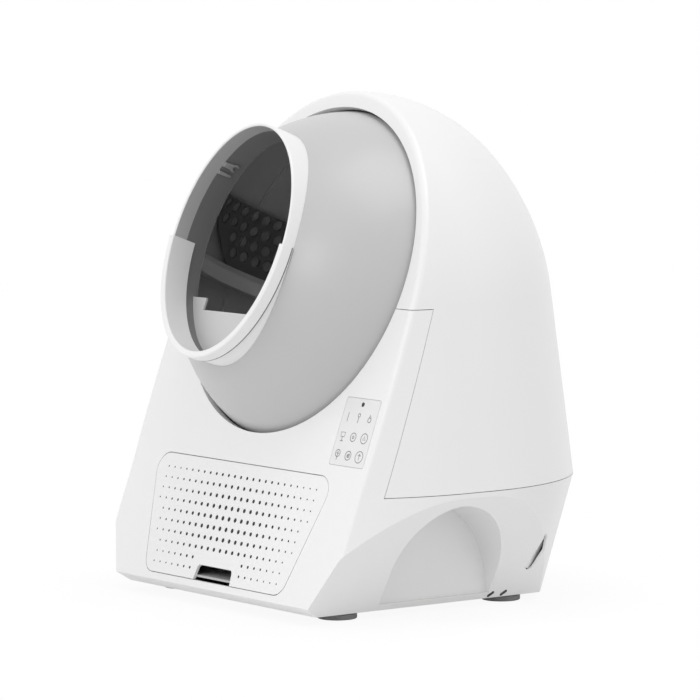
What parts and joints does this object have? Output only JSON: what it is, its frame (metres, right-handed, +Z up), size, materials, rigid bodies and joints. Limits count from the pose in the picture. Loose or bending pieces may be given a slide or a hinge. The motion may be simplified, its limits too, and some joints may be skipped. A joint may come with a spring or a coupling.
{
  "type": "self-cleaning litter box",
  "caption": "Domed self-cleaning litter box with a tilted rotating drum, oval entry collar, perforated waste drawer, touch panel and round feet.",
  "frame": {"origin": "on the floor under the middle of the object's bounding box", "axes": "+Z up, the front with the entry faces -Y, +X to the right seen from the front"},
  "size_m": [0.5652, 0.5416, 0.65],
  "materials": {
    "white_shell": "satin",
    "grey_drum": "satin",
    "dark_inner": "matte",
    "mid_inner": "matte",
    "chassis": "matte",
    "soft_seal": "matte",
    "foot_rubber": "matte",
    "sensor_steel": "brushed",
    "motor_metal": "satin",
    "nylon": "satin",
    "bush_bronze": "satin",
    "panel_face": "satin",
    "sensor_window": "gloss",
    "board_green": "matte",
    "socket_black": "satin",
    "carbon_foam": "matte"
  },
  "bodies": {
    "housing": {"base_shell": "white_shell", "dome_shell": "white_shell", "rear_cover": "white_shell", "chassis_deck": "chassis", "drawer_bay_left": "chassis", "drawer_bay_right": "chassis", "drawer_rail_left": "chassis", "drawer_rail_right": "chassis", "motor_pedestal": "chassis", "rear_pedestal": "chassis", "roller_bracket_left": "chassis", "roller_bracket_right": "chassis", "chute_collar": "soft_seal", "foot_front_left": "foot_rubber", "foot_front_right": "foot_rubber", "foot_rear_left": "foot_rubber", "foot_rear_right": "foot_rubber", "load_cell_front_left": "sensor_steel", "load_cell_front_right": "sensor_steel", "load_cell_rear_left": "sensor_steel", "load_cell_rear_right": "sensor_steel", "roller_pin_left": "sensor_steel", "roller_pin_right": "sensor_steel", "drive_motor": "motor_metal", "rear_bush": "bush_bronze", "control_panel": "panel_face", "panel_sensor": "sensor_window", "control_board": "board_green", "power_inlet": "socket_black"},
    "drum": {"drum_front_shell": "grey_drum", "drum_rear_shell": "grey_drum", "port_seal": "soft_seal", "ring_gear": "nylon", "entry_collar": "white_shell", "rim_guard": "white_shell", "entry_weir": "grey_drum", "sieve_panel": "dark_inner", "scoop_guide": "mid_inner", "rear_spindle": "nylon"},
    "drawer": {"drawer_fascia": "white_shell", "waste_bin": "mid_inner", "bag_ring": "mid_inner", "drawer_frame": "mid_inner", "odour_filter": "carbon_foam"},
    "pinion": {"drive_pinion": "nylon", "motor_shaft": "sensor_steel"},
    "roller_left": {"roller_left": "nylon"},
    "roller_right": {"roller_right": "nylon"}
  },
  "joints": [
    {"name": "drum_spin", "type": "hinge", "parent": "housing", "child": "drum", "pos_m": [0, -0.01608, 0.3939], "axis": [0, -0.9397, 0.342], "continuous": true},
    {"name": "pinion_spin", "type": "hinge", "parent": "housing", "child": "pinion", "pos_m": [0.19756, -0.10003, 0.24804], "axis": [0, -0.9397, 0.342], "continuous": true},
    {"name": "roller_left_spin", "type": "hinge", "parent": "housing", "child": "roller_left", "pos_m": [-0.12173, -0.11553, 0.18646], "axis": [0, -0.9397, 0.342], "continuous": true},
    {"name": "roller_right_spin", "type": "hinge", "parent": "housing", "child": "roller_right", "pos_m": [0.12173, -0.11553, 0.18646], "axis": [0, -0.9397, 0.342], "continuous": true},
    {"name": "drawer_slide", "type": "slide", "parent": "housing", "child": "drawer", "axis": [0, -1, 0], "range_m": [0, 0.3]}
  ],
  "couplings": [
    {"joint": "pinion_spin", "follows": "drum_spin", "ratio": -9.3},
    {"joint": "roller_left_spin", "follows": "drum_spin", "ratio": -8.9615},
    {"joint": "roller_right_spin", "follows": "drum_spin", "ratio": -8.9615}
  ]
}
